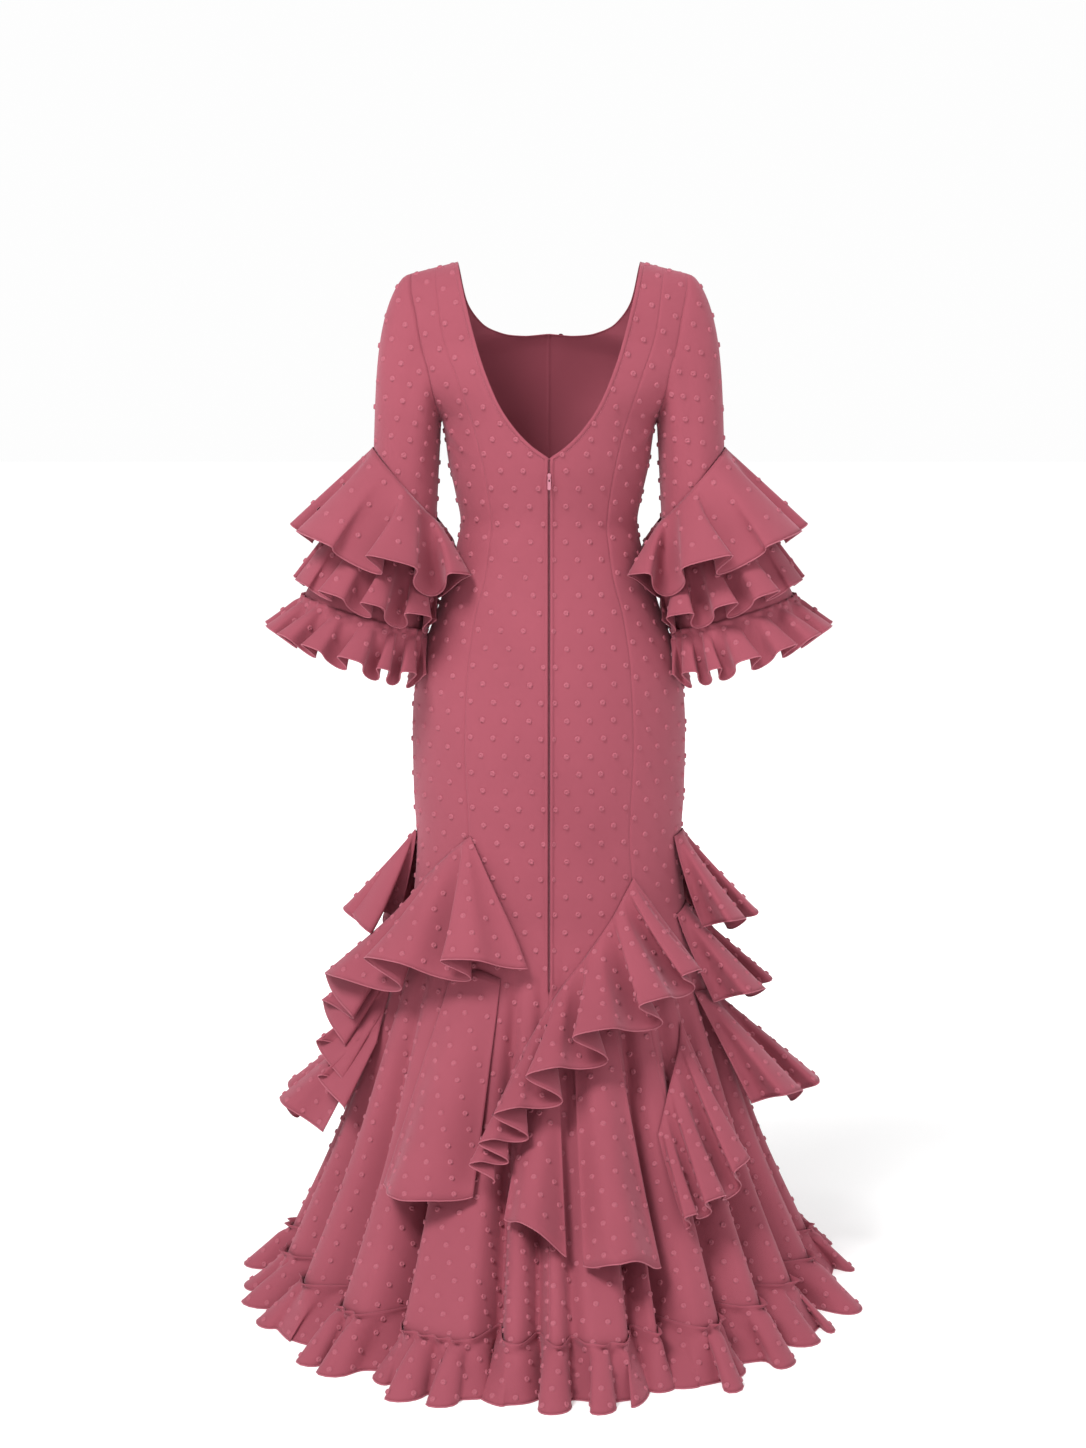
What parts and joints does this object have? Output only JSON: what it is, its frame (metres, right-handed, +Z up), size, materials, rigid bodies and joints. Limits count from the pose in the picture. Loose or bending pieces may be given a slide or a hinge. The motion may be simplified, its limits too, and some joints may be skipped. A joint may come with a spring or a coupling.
{
  "type": "flamenco dress",
  "caption": "Worn V-back flamenco dress in dotted crepe with tiered bell sleeves, cascading skirt ruffles and a gathered hem flounce.",
  "frame": {"origin": "middle of the shoulder line, where the wearer's shoulders hold the dress up", "axes": "+Z up; the back of the dress, with the zip, faces -Y; +X is the wearer's right"},
  "size_m": [0.8915, 0.9709, 1.4751],
  "materials": {
    "dotted_crepe": "dusty rose crepe with raised plumeti dots",
    "zip_coil": "rose nylon coil",
    "zip_metal": "rose enamelled zip slider and tab"
  },
  "bodies": {
    "dress": {"centre_back_right": "dotted_crepe", "centre_back_left": "dotted_crepe", "side_back_right": "dotted_crepe", "side_back_left": "dotted_crepe", "side_front_right": "dotted_crepe", "side_front_left": "dotted_crepe", "centre_front_right": "dotted_crepe", "centre_front_left": "dotted_crepe", "neck_binding_back_right": "dotted_crepe", "neck_binding_back_left": "dotted_crepe", "neck_binding_front_right": "dotted_crepe", "neck_binding_front_left": "dotted_crepe", "sleeve_right": "dotted_crepe", "sleeve_left": "dotted_crepe", "sleeve_bell_right": "dotted_crepe", "sleeve_bell_left": "dotted_crepe", "sleeve_tier_1_right": "dotted_crepe", "sleeve_tier_2_right": "dotted_crepe", "sleeve_tier_3_right": "dotted_crepe", "sleeve_tier_1_left": "dotted_crepe", "sleeve_tier_2_left": "dotted_crepe", "sleeve_tier_3_left": "dotted_crepe", "long_panel_left": "dotted_crepe", "long_panel_middle": "dotted_crepe", "long_panel_right": "dotted_crepe", "cascade_left": "dotted_crepe", "cascade_centre": "dotted_crepe", "cascade_right": "dotted_crepe", "front_ruffle_upper": "dotted_crepe", "front_ruffle_middle": "dotted_crepe", "front_ruffle_lower": "dotted_crepe", "hem_flounce": "dotted_crepe", "zip_coil": "zip_coil", "zip_slider": "zip_metal"},
    "zip_pull": {"zip_pull_tab": "zip_metal"}
  },
  "joints": [
    {"name": "zip_tab_hinge", "type": "hinge", "parent": "dress", "child": "zip_pull", "pos_m": [0, -0.10137, -0.2902], "axis": [-1, 0, 0], "range_deg": [0, 150]}
  ]
}
